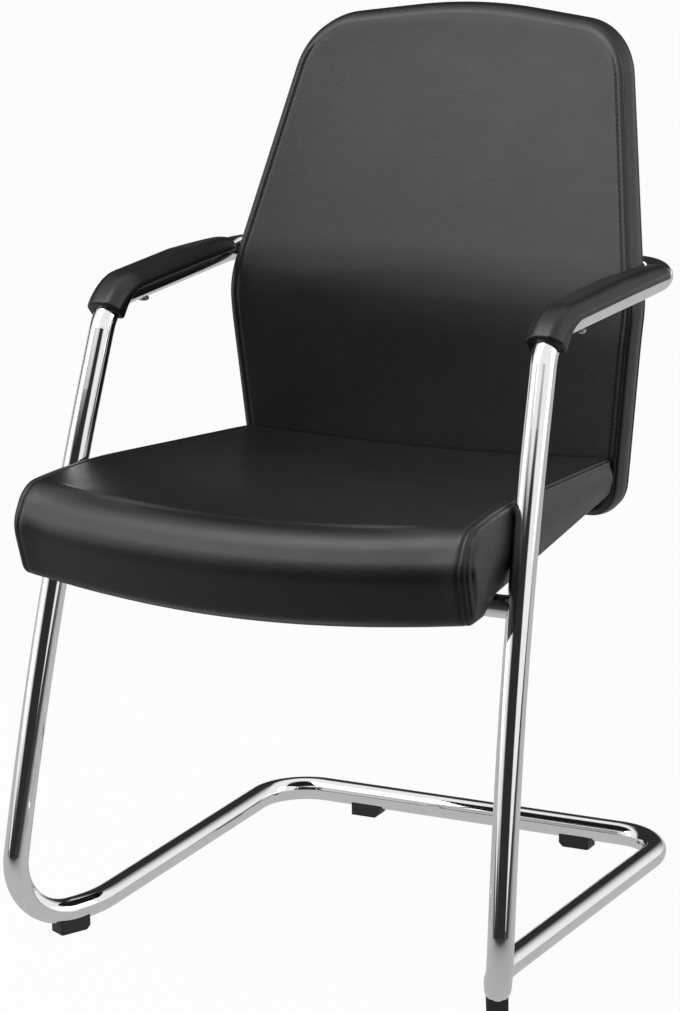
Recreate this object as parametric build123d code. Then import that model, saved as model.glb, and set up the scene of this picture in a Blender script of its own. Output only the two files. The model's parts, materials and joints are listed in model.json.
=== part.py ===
from build123d import *
import os
from math import asin, atan, cos, radians, sin, tan

# Conference armchair on a cantilever base of bent steel tube.
# Millimetres. X points to the sitter's left, Y to the rear, Z up. Left and right are the sitter's.
# The finished set is moved so that the origin is on the floor, under the middle of its box.

# Frame tube
tube_d = 25.0
tube_wall = 2.0
rail_z = 21.0
foot_half_width = 266.0
foot_y = -253.0
rail_front_half_width = 222.0
rail_front_y = -163.0
rail_rear_half_width = 232.0
rear_tube_y = 250.0
arm_front_half_width = 236.5
arm_front_y = -73.0
arm_front_z = 619.5
arm_rear_half_width = 246.0
arm_rear_z = 631.0
leg_bow = 13.5
foot_bend = 57.0
rail_bend = 112.0
rear_bend = 55.0
arm_front_bend = 48.0
arm_rear_bend = 50.0
leg_arc_share = 0.97
weld_straight = 4.0
weld_gap = 0.1

# Crossbar under the seat
crossbar_d = 22.0
crossbar_wall = 2.0

# Floor glides
glide_length = 34.0
glide_width = 21.0
glide_wrap = 6.0
glide_chamfer = 5.0
glide_edge = 2.0
glide_peg_d = 7.0
glide_peg_length = 5.0
glide_peg_root = 1.0
front_glide_share = 0.72
rear_glide_half_spacing = 124.0
seat_fit = 0.15

# Back cushion, front surface and outline
back_half_width = 229.0
back_hollow = 22.0
back_y = 147.0
back_rake = 18.9
lumbar_z = 602.0
lumbar_radius = 280.0
back_thickness = 40.0
back_top_thickness = 33.0
back_top_z = 888.0
back_shoulder_z = 867.0
back_shoulder_half_width = 176.5
back_waist_z = 602.0
back_bottom_z = 386.0
back_bottom_half_width = 207.0
back_top_arch = 560.0
back_shoulder_round = 66.0
back_waist_round = 128.0
back_bottom_round = 34.0
back_front_round = 9.0
back_rear_round = 8.0
back_rear_lap = 9.0
back_board_thickness = 10.0

# Seat cushion, side profile and plan
seat_front_y = -283.0
seat_front_bow = 25.0
seat_front_half_width = 243.0
seat_rear_half_width = 208.0
seat_top_z = 475.0
seat_rear_top_z = 452.0
seat_dip = 11.0
seat_nose_z = 411.0
seat_nose_rise = 50.0
seat_ridge_setback = 26.0
seat_crest_setback = 105.0
seat_lip_z = 366.0
seat_lip_rise = 11.0
seat_lip_setback = 24.0
seat_lip_length = 32.0
seat_floor_front_z = 391.0
seat_floor_rear_z = 412.0
seat_floor_setback = 76.0
seat_side_round = 8.0
seat_rounds = [9.0, 16.0, 12.0, 14.0, 45.0, 42.0, 160.0, 9.0]
seat_back_gap = 0.6
seat_board_thickness = 12.0
seat_liner_margin = 10.0
seat_board_margin = 7.0
seat_board_corner = 20.0

# Upholstery
skin = 2.0
layer_fit = 0.25
seam_width = 2.4
seam_depth = 1.4
seam_inset = 8.6
seam_drop = 36.0
back_seam_top_z = 850.0

# Arm pads
pad_width = 44.0
pad_rise = 22.0
pad_arm_skirt = 3.0
pad_nose_skirt = 6.0
pad_nose_drop = -19.0
pad_nose_width = 38.0
pad_nose_rise = 19.0
pad_rear_y = 176.0
pad_rear_taper = 55.0
pad_rear_width = 30.0
pad_rear_rise = 15.0
pad_shoulder_share = 0.5
pad_crown_share = 0.55
pad_taper_steps = 2
pad_arm_steps = 4
pad_bend_steps = 3
pad_rounds = [3.0, 3.0, 9.0, 12.0, 12.0, 9.0]
pad_insert_y = 45.0
pad_insert_depth = 1.5
pad_insert_width = 18.0
pad_insert_thickness = 4.0
pad_insert_length = 150.0
pad_screw_y = -2.0
pad_screw_short = 1.0

# Plates, brackets, plugs and fasteners
plug_cap_h = 2.5
plug_stem_h = 14.0
plate_width = 46.0
plate_height = 66.0
plate_thickness = 4.0
plate_corner = 6.0
plate_x = 165.0
plate_screw_pitch = 46.0
plate_clearance = 0.7
saddle_half_spacing = 100.0
saddle_width = 40.0
saddle_length = 52.0
saddle_thickness = 3.0
saddle_screw_pitch = 36.0
bracket_half_spacing = 45.0
bracket_width = 30.0
bracket_thickness = 4.0
bracket_foot = 110.0
bracket_post = 90.0
bracket_bend = 8.0
bracket_screw_pitch = 46.0
bolt_d = 6.0
bolt_head_d = 11.0
bolt_head_h = 3.6
bolt_socket_d = 4.0
bolt_clearance = 0.5
dome_share = 0.6
nut_flange_d = 19.0
nut_flange_h = 1.5
nut_barrel_d = 8.0
nut_barrel_short = 2.0
wood_screw_d = 4.0
wood_screw_length = 9.0
wood_screw_head_d = 8.0
wood_screw_head_h = 2.5

# Construction: how far cutting shapes run past what they cut, steps of a search by halving, and steps between
# the back's sections
spare = 12.0
far_spare = 60.0
halvings = 40
back_steps = 15

tube_r = tube_d / 2
rake = radians(back_rake)
seat_taper = (seat_front_half_width - seat_rear_half_width) / (back_y - seat_front_y)
lumbar_start_z = lumbar_z - lumbar_radius * tan(rake / 2)
lumbar_end_z = lumbar_start_z + lumbar_radius * sin(rake)


def mirrored(shape):
    """The same piece on the other side of the chair."""
    return mirror(shape, about=Plane.YZ)


def pipe(path, outer_d, inner_d):
    """A round tube along a path of straight runs and tangent arcs."""
    start = Plane(origin=path @ 0, z_dir=path % 0)
    return sweep(start * (Circle(outer_d / 2) - Circle(inner_d / 2)), path=path)


def rod(path, d):
    """A solid round bar along a path."""
    return sweep(Plane(origin=path @ 0, z_dir=path % 0) * Circle(d / 2), path=path)


def half_turn(before, corner, after):
    """Half the angle that a path turns through at a corner, in radians."""
    return radians((corner - before).get_angle(after - corner)) / 2


def corner_reach(before, corner, after, radius):
    """Length from a corner to where its bend begins."""
    return radius * tan(half_turn(before, corner, after))


def bolt(plane, length):
    """A domed screw, with its head's seat on the plane and its shank against the plane's normal."""
    head = extrude(Circle(bolt_head_d / 2), bolt_head_h)
    head = fillet(head.edges().group_by(Axis.Z)[-1], bolt_head_h * dome_share)
    socket = Pos(0, 0, bolt_head_h / 2) * extrude(RegularPolygon(bolt_socket_d / 2, 6), bolt_head_h)
    return plane * ((head - socket) + extrude(Circle(bolt_d / 2), -length))


def hole(plane, d, depth, above=0.0):
    """A round cutter that goes into the plane against its normal."""
    return plane * (Pos(0, 0, above) * extrude(Circle(d / 2), -depth - above))


def tee_nut(plane, board):
    """A flanged insert nut for a board, with the flange on the plane and its barrel along the normal."""
    flange = extrude(Circle(nut_flange_d / 2), -nut_flange_h)
    barrel = extrude(Circle(nut_barrel_d / 2), board - nut_barrel_short)
    bore = Pos(0, 0, -nut_flange_h) * extrude(Circle(bolt_d / 2 + weld_gap), nut_flange_h + board)
    return plane * (flange + barrel - bore)


def nut_room(plane, board):
    """The pocket that a flanged nut needs in a board and in the foam over it."""
    barrel = Pos(0, 0, -layer_fit) * extrude(Circle(nut_barrel_d / 2 + layer_fit), 2 * board)
    flange = Pos(0, 0, layer_fit) * extrude(
        Circle(nut_flange_d / 2 + layer_fit), -nut_flange_h - 2 * layer_fit)
    return plane * (barrel + flange)


# Back cushion surfaces
def back_line(z):
    """Y of the back's front surface at its side edges, at height z: upright, lumbar arc, raked."""
    if z <= lumbar_start_z:
        return back_y
    if z < lumbar_end_z:
        return back_y + lumbar_radius * (1 - cos(asin((z - lumbar_start_z) / lumbar_radius)))
    return back_y + lumbar_radius * (1 - cos(rake)) + (z - lumbar_end_z) * tan(rake)


def back_depth(z):
    """Thickness of the back at height z: even up to the lumbar, then thinner towards the top."""
    share = max(0.0, (z - lumbar_z) / (back_top_z - lumbar_z))
    return back_thickness + (back_top_thickness - back_thickness) * share


def back_front(x, z):
    """Y of the back's front surface, which is hollow from side to side."""
    return back_line(z) + back_hollow * (1 - (x / back_half_width) ** 2)


def back_rear(x, z):
    """Y of the back's rear surface."""
    return back_front(x, z) + back_depth(z)


def back_slab(front_offset, rear_offset):
    """A slab that follows the back, between two offsets in Y from its front surface."""
    w = back_half_width + spare
    low = back_bottom_z - spare
    high = back_top_z + spare
    sections = []
    for step in range(back_steps + 1):
        z = low + (high - low) * step / back_steps
        edges = []
        for offset_at, side in ((front_offset, -1), (rear_offset, 1)):
            points = [(x, back_front(x, z) + offset_at(z), z) for x in (side * w, 0, -side * w)]
            edges.append(ThreePointArc(*points))
        front, rear = edges
        sections.append(Face(Wire([front, Line(front @ 1, rear @ 0), rear, Line(rear @ 1, front @ 0)])))
    return loft(sections)


def back_outline(inset):
    """The back's front-view outline as a prism through its whole depth."""
    right = [(back_bottom_half_width, back_bottom_z), (back_half_width, back_waist_z),
             (back_shoulder_half_width, back_shoulder_z)]
    left = [(-x, z) for x, z in reversed(right)]
    rounds = [back_bottom_round, back_waist_round, back_shoulder_round]
    line = FilletPolyline(*right, (0, back_top_z), *left, close=True,
                          radius=[*rounds, back_top_arch, *reversed(rounds)])
    face = make_face(line)
    if inset > 0:
        face = offset(face, -inset)
    return Pos(0, 2 * back_y, 0) * extrude(Plane.XZ * face, 2 * back_y, both=True)


def back_body(inset):
    """The padded back, with its edges rounded, drawn in evenly by an inset."""
    slab = back_slab(lambda z: inset, lambda z: back_depth(z) - inset)
    body = (slab & back_outline(inset)).solid()
    for pick, radius in ((min, back_front_round), (max, back_rear_round)):
        face = pick(body.faces().sort_by(SortBy.AREA)[-2:], key=lambda f: f.center().Y)
        body = fillet(face.edges(), radius - inset).solid()
    return body


# Seat cushion surfaces
def seat_share(x):
    """Square of the distance from the middle, as a share of the half width."""
    return (x / seat_front_half_width) ** 2


def seat_floor(y):
    """Height of the seat's flat underside, which rises to the rear."""
    front = seat_front_y + seat_floor_setback
    slope = (seat_floor_rear_z - seat_floor_front_z) / (back_y - front)
    return seat_floor_front_z + slope * (y - front)


def seat_section(x, inset):
    """The seat's side profile at one distance from the middle."""
    front = seat_front_y + seat_front_bow * seat_share(x) + inset
    rear = back_front(x, seat_floor_rear_z) - seat_back_gap - inset
    dip = seat_dip * (1 - seat_share(x)) + inset
    floor_y = front + seat_floor_setback - 2 * inset
    lip_y = front + seat_lip_setback
    lip_z = seat_lip_z + seat_lip_rise * seat_share(x) + inset
    points = [(rear, seat_floor(rear) + inset),
              (floor_y, seat_floor(floor_y) + inset),
              (lip_y + seat_lip_length - 2 * inset, lip_z),
              (lip_y, lip_z),
              (front, seat_nose_z),
              (front + seat_ridge_setback, seat_nose_z + seat_nose_rise - dip / 2),
              (front + seat_crest_setback, seat_top_z - dip),
              (rear, seat_rear_top_z - dip)]
    line = FilletPolyline(*points, radius=seat_rounds, close=True)
    return Plane(origin=(x, 0, 0), x_dir=(0, 1, 0), z_dir=(1, 0, 0)) * make_face(line)


def seat_half_width(y):
    """Half the seat's width at one depth, between its tapering sides."""
    return seat_front_half_width - seat_taper * (y - seat_front_y)


def seat_plan(inset):
    """The seat's plan between its tapering sides, as a tall prism that runs past its front and rear."""
    ends = (seat_front_y - far_spare, back_y + far_spare)
    right = [(seat_half_width(y) - inset, y) for y in ends]
    left = [(-x, y) for x, y in reversed(right)]
    face = make_face(Polyline(*right, *left, close=True))
    return Pos(0, 0, seat_lip_z - far_spare) * extrude(face, seat_top_z - seat_lip_z + 2 * far_spare)


def seat_floor_plan(margin):
    """Plan of the seat's flat underside, drawn in by a margin: a bowed front and tapering sides."""
    front = seat_front_y + seat_floor_setback + margin
    corner = front + seat_front_bow
    rear = back_y - margin
    front_w = seat_half_width(corner) - margin
    rear_w = seat_half_width(rear) - margin
    bow = ThreePointArc((-front_w, corner), (0, front), (front_w, corner))
    return make_face([bow, Polyline((front_w, corner), (rear_w, rear), (-rear_w, rear), (-front_w, corner))])


def seat_body(inset):
    """The padded seat: side profiles carried across its width, cut by tapering sides."""
    reach = seat_front_half_width + spare
    sections = [seat_section(share * reach, inset) for share in (-1, -0.5, 0, 0.5, 1)]
    body = (loft(sections) & seat_plan(inset)).solid()
    for side in (-1, 1):
        face = max(body.faces(), key=lambda f: side * f.center().X)
        body = fillet(face.edges(), seat_side_round - inset).solid()
    return body


nodes = {}


def add_pair(name, shape):
    """Keep a piece of the sitter's left side and its mirror image on the right."""
    nodes["left_" + name] = shape
    nodes["right_" + name] = mirrored(shape)


# Where the arm tube lands behind the back
plate_slope = 2 * back_hollow * plate_x / back_half_width ** 2
plate_edges = [back_rear(plate_x, arm_rear_z + side * plate_height / 2) for side in (-1, 1)]
plate_lean = (plate_edges[1] - plate_edges[0]) / plate_height
plate_normal = Vector(plate_slope, 1, -plate_lean).normalized()
plate_inward = Vector(-1, plate_slope, 0).normalized()
plate_gap = plate_height ** 2 / (8 * (lumbar_radius - back_thickness)) + plate_clearance
plate_stack = plate_gap + plate_thickness + weld_gap + tube_r
plate_z = arm_rear_z - plate_normal.Z * plate_stack
plate_seat = Vector(plate_x, back_rear(plate_x, plate_z), plate_z)
arm_end_axis = plate_seat + plate_normal * plate_stack
arm_rear = arm_end_axis + plate_inward * ((arm_rear_half_width - arm_end_axis.X) / plate_inward.X)
arm_end = arm_end_axis + plate_inward * (plate_width / 2)

# Tube frame
foot = Vector(foot_half_width, foot_y, rail_z)
rail_front = Vector(rail_front_half_width, rail_front_y, rail_z)
rear_corner = Vector(rail_rear_half_width, rear_tube_y, rail_z)
other_rear_corner = Vector(-rail_rear_half_width, rear_tube_y, rail_z)
arm_front = Vector(arm_front_half_width, arm_front_y, arm_front_z)
leg_apex = (foot + arm_front) * 0.5 + Vector(0, -2 * leg_bow, 0)
rail_run = (rail_front - rear_corner).normalized()
weld_reach = corner_reach(rail_front, rear_corner, other_rear_corner, rear_bend) + weld_straight
weld = rear_corner + rail_run * weld_reach
leg_room_top = (leg_apex - arm_front).length - corner_reach(arm_rear, arm_front, leg_apex, arm_front_bend)
leg_room_foot = (leg_apex - foot).length - corner_reach(leg_apex, foot, rail_front, foot_bend)
leg_radius = leg_arc_share * min(leg_room_top, leg_room_foot) / tan(half_turn(arm_front, leg_apex, foot))
side_weld = weld + rail_run * weld_gap
side_path = FilletPolyline(arm_end, arm_rear, arm_front, leg_apex, foot, rail_front, side_weld,
                           radius=[arm_rear_bend, arm_front_bend, leg_radius, foot_bend, rail_bend])
rear_weld = Vector(-weld.X, weld.Y, weld.Z)
rear_path = FilletPolyline(weld, rear_corner, other_rear_corner, rear_weld, radius=[rear_bend, rear_bend])
side_tube = pipe(side_path, tube_d, tube_d - 2 * tube_wall)
rear_tube = pipe(rear_path, tube_d, tube_d - 2 * tube_wall)
side_envelope = rod(side_path, tube_d + 2 * seat_fit)
rear_envelope = rod(rear_path, tube_d + 2 * seat_fit)


# Floor glides: saddle blocks under the tube, each with a peg in a hole
def glide(centre, along, envelope):
    """A saddle block that hugs the tube above it and stands on the floor."""
    plane = Plane(origin=(centre.X, centre.Y, 0), x_dir=along, z_dir=(0, 0, 1))
    height = rail_z - tube_r + glide_wrap
    side = make_face(Polyline((-glide_length / 2, glide_chamfer), (-glide_length / 2 + glide_chamfer, 0),
                              (glide_length / 2, 0), (glide_length / 2, height), (-glide_length / 2, height),
                              close=True))
    block = extrude(Plane.XZ * side, glide_width / 2, both=True)
    block = fillet(block.edges().filter_by(Axis.Z), glide_edge)
    return (plane * block) - envelope


def glide_peg(centre, d):
    """The peg in the tube's underside, or the hole for it."""
    low = rail_z - tube_r - glide_peg_root
    return Pos(centre.X, centre.Y, low) * extrude(Circle(d / 2), glide_peg_root + glide_peg_length)


front_glide_at = foot + (rail_front - foot) * front_glide_share
front_glide_run = foot - rail_front
rear_glide_at = Vector(rear_glide_half_spacing, rear_tube_y, rail_z)
rear_glide_run = Vector(1, 0, 0)
for name, at, run, envelope in (("front_glide", front_glide_at, front_glide_run, side_envelope),
                                ("rear_glide", rear_glide_at, rear_glide_run, rear_envelope)):
    add_pair(name, (glide(at, run, envelope) + glide_peg(at, glide_peg_d)).solid())
side_tube -= glide_peg(front_glide_at, glide_peg_d + 2 * seat_fit)
rear_hole = glide_peg(rear_glide_at, glide_peg_d + 2 * seat_fit)
rear_tube -= rear_hole
rear_tube -= mirrored(rear_hole)

# Crossbar between the legs, coped to the tubes, with two saddle plates under the seat
seat_tilt = atan((seat_floor_rear_z - seat_floor_front_z) / (back_y - seat_front_y - seat_floor_setback))
seat_up = Vector(0, -sin(seat_tilt), cos(seat_tilt))
saddle_stack = crossbar_d / 2 + weld_gap + saddle_thickness + layer_fit
leg_edge = max(side_path.edges(), key=lambda e: e.radius if e.geom_type == GeomType.CIRCLE else 0)


def leg_at(z):
    """The point of the leg's centre line at one height, found by halving."""
    near, far = sorted((0.0, 1.0), key=lambda share: (leg_edge @ share).Z)
    for _ in range(halvings):
        middle = (near + far) / 2
        if (leg_edge @ middle).Z < z:
            near = middle
        else:
            far = middle
    return leg_edge @ near


def under_seat(y):
    """Height of the crossbar's axis that puts its saddles against the seat, for a bar at y."""
    return seat_floor(y) - saddle_stack / cos(seat_tilt)


crossbar_z = under_seat(leg_at(under_seat(arm_front_y)).Y)
crossbar_y = leg_at(crossbar_z).Y
crossbar_path = Line((-foot_half_width, crossbar_y, crossbar_z), (foot_half_width, crossbar_y, crossbar_z))
coping = rod(side_path, tube_d + 2 * weld_gap)
crossbar = pipe(crossbar_path, crossbar_d, crossbar_d - 2 * crossbar_wall) - coping - mirrored(coping)
nodes["seat_crossbar"] = min(crossbar.solids(), key=lambda s: abs(s.center().X))

saddle_base = Vector(saddle_half_spacing, crossbar_y, crossbar_z) + seat_up * (crossbar_d / 2 + weld_gap)
saddle_plane = Plane(origin=saddle_base, x_dir=(1, 0, 0), z_dir=seat_up)
saddle = saddle_plane * extrude(RectangleRounded(saddle_width, saddle_length, plate_corner), saddle_thickness)
seat_bolts = []
for side in (-1, 1):
    at = saddle_base + saddle_plane.y_dir * (side * saddle_screw_pitch / 2)
    seat_bolts.append(Plane(origin=at, x_dir=(1, 0, 0), z_dir=-seat_up))
for plane in seat_bolts:
    saddle -= hole(plane, bolt_d + bolt_clearance, 2 * saddle_thickness, above=saddle_thickness)
add_pair("seat_saddle", saddle)

# Plates at the ends of the arm tubes, behind the back
plate_plane = Plane(origin=plate_seat + plate_normal * plate_gap, x_dir=plate_inward, z_dir=plate_normal)
plate = plate_plane * extrude(RectangleRounded(plate_width, plate_height, plate_corner), plate_thickness)
plate_outside = plate_plane.origin + plate_normal * plate_thickness
back_bolts = []
for side in (-1, 1):
    at = plate_outside + plate_plane.y_dir * (side * plate_screw_pitch / 2)
    back_bolts.append(Plane(origin=at, x_dir=plate_inward, z_dir=plate_normal))
for plane in back_bolts:
    plate -= hole(plane, bolt_d + bolt_clearance, 2 * plate_thickness, above=plate_thickness)
add_pair("back_plate", plate)

# Plugs in the open ends of the arm tubes
plug_plane = Plane(origin=arm_end + plate_inward * weld_gap, z_dir=plate_inward)
plug_cap = fillet(extrude(Circle(tube_r), plug_cap_h).edges().group_by(Axis.Z)[-1], plug_cap_h * dome_share)
plug_stem = extrude(Circle(tube_r - tube_wall - seat_fit), -plug_stem_h)
add_pair("tube_plug", plug_plane * (plug_cap + plug_stem))


# Arm pads
def pad_section(share, width, rise, skirt):
    """The pad's profile across the arm tube at one place along the side tube's path."""
    along = side_path % share
    out = along.cross(Vector(1, 0, 0)).normalized()
    out = out if out.Z - out.Y > 0 else -out
    plane = Plane(origin=side_path @ share, x_dir=out.cross(along), z_dir=along)
    sign = 1 if plane.y_dir.dot(out) > 0 else -1
    half = width / 2
    shoulder = rise * pad_shoulder_share
    crown = half * pad_crown_share
    corners = [(-half, -skirt), (half, -skirt), (half, shoulder), (crown, rise), (-crown, rise),
               (-half, shoulder)]
    line = FilletPolyline(*[(x, sign * y) for x, y in corners], radius=pad_rounds, close=True)
    return plane * make_face(line)


def share_at_y(y):
    """Place along the side path where the arm passes one depth, found by halving."""
    near, far = arm_shares
    for _ in range(halvings):
        middle = (near + far) / 2
        near, far = (middle, far) if (side_path @ middle).Y > y else (near, middle)
    return near


path_length = side_path.length
arm_rear_length = (arm_end - arm_rear).length
bend_reach = corner_reach(arm_rear, arm_front, leg_apex, arm_front_bend)
rear_cut = 2 * corner_reach(arm_end, arm_rear, arm_front, arm_rear_bend) - 2 * arm_rear_bend * half_turn(
    arm_end, arm_rear, arm_front)
bend_start = arm_rear_length + (arm_rear - arm_front).length - bend_reach - rear_cut
bend_length = 2 * arm_front_bend * half_turn(arm_rear, arm_front, leg_apex)
arm_shares = (arm_rear_length / path_length, bend_start / path_length)
pad_rear_share = share_at_y(pad_rear_y)
pad_full_share = share_at_y(pad_rear_y - pad_rear_taper)
bend_share = bend_start / path_length
nose_share = (bend_start + bend_length + pad_nose_drop) / path_length
pad_rear_sizes = Vector(pad_rear_width, pad_rear_rise, pad_arm_skirt)
pad_arm_sizes = Vector(pad_width, pad_rise, pad_arm_skirt)
pad_nose_sizes = Vector(pad_nose_width, pad_nose_rise, pad_nose_skirt)
pad_runs = [(pad_rear_share, pad_full_share, pad_rear_sizes, pad_arm_sizes, pad_taper_steps),
            (pad_full_share, bend_share, pad_arm_sizes, pad_arm_sizes, pad_arm_steps),
            (bend_share, nose_share, pad_arm_sizes, pad_nose_sizes, pad_bend_steps)]
stations = [(pad_rear_share, *pad_rear_sizes)]
for start, end, start_sizes, end_sizes, steps in pad_runs:
    for step in range(1, steps + 1):
        part_way = step / steps
        sizes = start_sizes + (end_sizes - start_sizes) * part_way
        stations.append((start + (end - start) * part_way, *sizes))
pad = loft([pad_section(*station) for station in stations])
insert_share = share_at_y(pad_insert_y)
arm_run = (arm_rear - arm_front).normalized()
arm_side = Vector(1, 0, 0) - arm_run * arm_run.X
arm_up = arm_side.cross(arm_run).normalized()
insert_plane = Plane(origin=(side_path @ insert_share) + arm_up * (tube_r + pad_insert_depth), x_dir=arm_run,
                     z_dir=arm_up)
insert = insert_plane * extrude(RectangleRounded(pad_insert_length, pad_insert_width, plate_corner),
                                pad_insert_thickness)
insert_slot = offset(RectangleRounded(pad_insert_length, pad_insert_width, plate_corner), layer_fit)
insert_slot_h = pad_insert_thickness + 2 * layer_fit
insert_room = insert_plane * (Pos(0, 0, -layer_fit) * extrude(insert_slot, insert_slot_h))
pad_bolt_at = (side_path @ share_at_y(pad_screw_y)) - arm_up * (tube_r + weld_gap)
pad_bolt = Plane(origin=pad_bolt_at, x_dir=arm_run, z_dir=-arm_up)
pad_bolt_length = tube_d + weld_gap + pad_insert_depth + pad_insert_thickness - pad_screw_short
pad_bolt_hole = hole(pad_bolt, bolt_d + bolt_clearance, pad_bolt_length + layer_fit, above=layer_fit)
add_pair("arm_pad", (pad - side_envelope - insert_room - pad_bolt_hole).solid())
add_pair("pad_insert", insert - hole(pad_bolt, bolt_d + 2 * weld_gap, pad_bolt_length + layer_fit))
side_tube -= pad_bolt_hole
pad_screw = bolt(pad_bolt, pad_bolt_length)
nodes["arm_pad_screws"] = Compound([pad_screw.solid(), mirrored(pad_screw).solid()])

add_pair("side_tube", side_tube)
nodes["base_rear_tube"] = rear_tube


# Seat: board, foam, cover and the liner under it
def seat_board_body(grow):
    """The flat plywood board in the bottom of the seat, behind the front lip."""
    underside = Vector(0, 0, seat_floor(0)) + seat_up * (skin + layer_fit)
    base = Plane(origin=underside, x_dir=(1, 0, 0), z_dir=seat_up)
    face = seat_floor_plan(skin + layer_fit + seat_board_margin - grow)
    board = extrude(face, seat_board_thickness + grow)
    return base * fillet(board.edges().filter_by(Axis.Z), seat_board_corner)


def seat_liner_room(grow):
    """The part of the seat's underside that the liner closes, as an upright prism below the foam."""
    low = seat_floor_front_z - far_spare
    return Pos(0, 0, low) * extrude(seat_floor_plan(seat_liner_margin - grow), seat_floor_rear_z + skin - low)


seat_outer = seat_body(0.0)
seat_shell = seat_outer - seat_body(skin)
seat_cover = seat_shell - seat_liner_room(layer_fit)
seat_liner = seat_shell & seat_liner_room(0.0)
seat_board = seat_board_body(0.0)
seat_foam = seat_body(skin + layer_fit) - seat_board_body(layer_fit)
seam_slice = seat_plan(seam_inset) - seat_plan(seam_inset + seam_width)
seam_band = seat_outer - seat_body(seam_depth)
seam_reach = 4 * seat_front_half_width
seam_top = Pos(0, 0, seat_nose_z - seam_drop) * extrude(Rectangle(seam_reach, seam_reach), seat_top_z)
seat_cover -= seam_band & seam_slice & seam_top

board_top = skin + layer_fit + seat_board_thickness
seat_nuts = []
for plane in seat_bolts:
    at = plane.origin + seat_up * (saddle_thickness + layer_fit + board_top + weld_gap)
    seat_nuts.append(Plane(origin=at, x_dir=(1, 0, 0), z_dir=-seat_up))
seat_bolt_length = saddle_thickness + layer_fit + board_top + nut_flange_h
seat_bolt_shapes, seat_nut_shapes = [], []
for plane, nut_plane in zip(seat_bolts, seat_nuts):
    for flip in (lambda s: s, mirrored):
        passage = flip(hole(plane, bolt_d + bolt_clearance, 2 * seat_bolt_length))
        room = flip(nut_room(nut_plane, seat_board_thickness))
        seat_liner -= passage
        seat_board -= passage + room
        seat_foam -= passage + room
        seat_bolt_shapes.append(flip(bolt(plane, seat_bolt_length)).solid())
        seat_nut_shapes.append(flip(tee_nut(nut_plane, seat_board_thickness)).solid())

# Back: board, foam, front cover with its side band, and the rear panel
back_outer = back_body(0.0)
back_shell = back_outer - back_body(skin)


def back_rearward(depth):
    """Everything from one depth in front of the back's rear surface to well behind it."""
    return back_slab(lambda z: back_depth(z) - depth, lambda z: back_depth(z) + far_spare)


back_rear_cover = back_shell & back_rearward(back_rear_lap)
back_front_cover = back_shell - back_rearward(back_rear_lap + layer_fit)
board_depth = skin + layer_fit + back_board_thickness
back_core = back_body(skin + layer_fit)
back_board = back_core & back_rearward(board_depth)
back_foam = back_core - back_rearward(board_depth + layer_fit)
back_seam = back_outline(seam_inset) - back_outline(seam_inset + seam_width)
back_seam &= Pos(0, 0, back_seam_top_z) * extrude(Rectangle(seam_reach, seam_reach), -seam_reach)
back_front_cover -= back_seam & back_slab(lambda z: -far_spare, lambda z: seam_depth)

back_bolt_shapes, back_nut_shapes = [], []
back_bolt_length = plate_thickness + plate_gap + board_depth + nut_flange_h
nut_depth = plate_thickness + plate_gap + board_depth * plate_normal.Y + layer_fit
for plane in back_bolts:
    at = plane.origin - plate_normal * nut_depth
    nut_plane = Plane(origin=at, x_dir=plate_inward, z_dir=plate_normal)
    for flip in (lambda s: s, mirrored):
        passage = flip(hole(plane, bolt_d + bolt_clearance, 1.5 * back_bolt_length))
        room = flip(nut_room(nut_plane, back_board_thickness))
        back_rear_cover -= passage
        back_board -= passage + room
        back_foam -= passage + room
        back_bolt_shapes.append(flip(bolt(plane, back_bolt_length)).solid())
        back_nut_shapes.append(flip(tee_nut(nut_plane, back_board_thickness)).solid())

# Angle brackets that join the seat board to the back board inside the upholstery
bracket_edge_x = bracket_half_spacing + bracket_width / 2
bracket_foot_y = back_y - bracket_foot
post_y = back_front(bracket_edge_x, lumbar_start_z) + back_depth(lumbar_start_z) - board_depth - layer_fit
seat_board_top = board_top + weld_gap


def bracket_body(thickness, width):
    """A bent steel strip: a foot on the seat board and a post against the back board."""
    lift = (seat_board_top + bracket_thickness / 2) / cos(seat_tilt)
    middle_y = post_y - bracket_thickness / 2
    heel = Vector(middle_y, seat_floor(middle_y) + lift)
    toe = Vector(bracket_foot_y, seat_floor(bracket_foot_y) + lift)
    line = FilletPolyline(toe, heel, heel + Vector(0, bracket_post), radius=bracket_bend)
    side_view = Plane(origin=(bracket_half_spacing, 0, 0), x_dir=(0, 1, 0), z_dir=(1, 0, 0))
    return extrude(side_view * trace(line, thickness), width / 2, both=True)


bracket = bracket_body(bracket_thickness, bracket_width)
bracket_room = bracket_body(bracket_thickness + 2 * layer_fit, bracket_width + 2 * layer_fit)
foot_screw_y = bracket_foot_y + bracket_width / 2
post_screw_z = seat_floor(post_y) + board_top + bracket_post - bracket_width / 2
wood_screws = []
for step in (0, 1):
    y = foot_screw_y + step * bracket_screw_pitch
    foot_at = Vector(bracket_half_spacing, y, seat_floor(y)) + seat_up * (seat_board_top + bracket_thickness)
    wood_screws.append(Plane(origin=foot_at, x_dir=(1, 0, 0), z_dir=seat_up))
    z = post_screw_z - step * bracket_screw_pitch
    post_at = Vector(bracket_half_spacing, post_y - bracket_thickness, z)
    wood_screws.append(Plane(origin=post_at, x_dir=(1, 0, 0), z_dir=(0, -1, 0)))
wood_screw_shapes = []
screw_rooms = bracket_room
for plane in wood_screws:
    head_room = plane * extrude(Circle(wood_screw_head_d / 2 + layer_fit), wood_screw_head_h + layer_fit)
    shank_room = hole(plane, wood_screw_d + 2 * weld_gap, wood_screw_length + layer_fit)
    bracket -= shank_room
    screw_rooms += head_room + shank_room
    shape = plane * (extrude(Circle(wood_screw_head_d / 2), wood_screw_head_h)
                     + extrude(Circle(wood_screw_d / 2), -wood_screw_length))
    wood_screw_shapes += [shape.solid(), mirrored(shape).solid()]
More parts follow.
